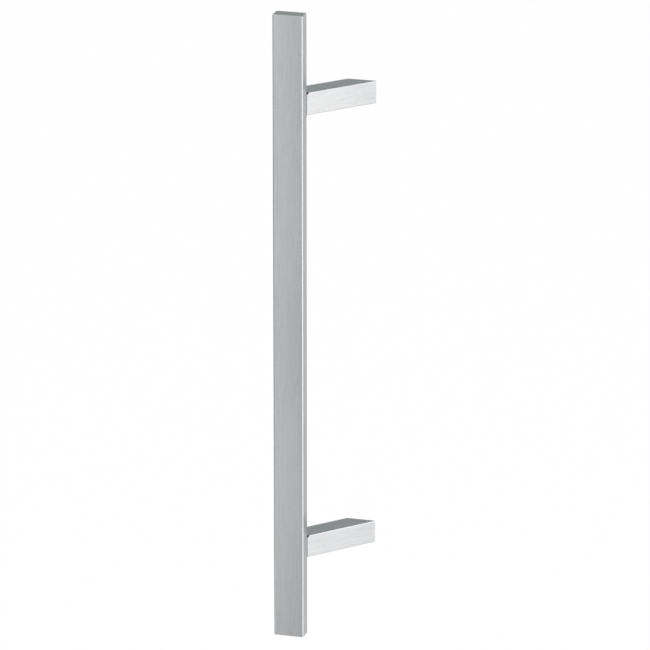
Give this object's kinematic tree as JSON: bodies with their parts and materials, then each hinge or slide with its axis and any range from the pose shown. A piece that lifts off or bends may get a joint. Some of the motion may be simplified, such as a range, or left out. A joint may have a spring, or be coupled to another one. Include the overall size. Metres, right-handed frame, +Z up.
{
  "type": "offset door pull handle",
  "caption": "Tall rectangular grip tube in satin steel, offset sideways from its fixing points on two square supports that run back to the door at an angle.",
  "frame": {"origin": "on the door's face, midway between the two fixing points", "axes": "+Z up along the grip, +Y into the door, -Y out of the door towards the user, the grip offset to the -X side"},
  "size_m": [0.1096, 0.1, 0.84],
  "materials": {
    "satin_steel": "satin, brushed lengthways",
    "plain_steel": "bright, as machined"
  },
  "bodies": {
    "root": {"grip_tube": "satin_steel", "upper_end_plug": "satin_steel", "lower_end_plug": "satin_steel", "upper_support": "satin_steel", "lower_support": "satin_steel", "upper_backing_block": "plain_steel", "lower_backing_block": "plain_steel", "upper_stud": "plain_steel", "lower_stud": "plain_steel"}
  },
  "joints": []
}
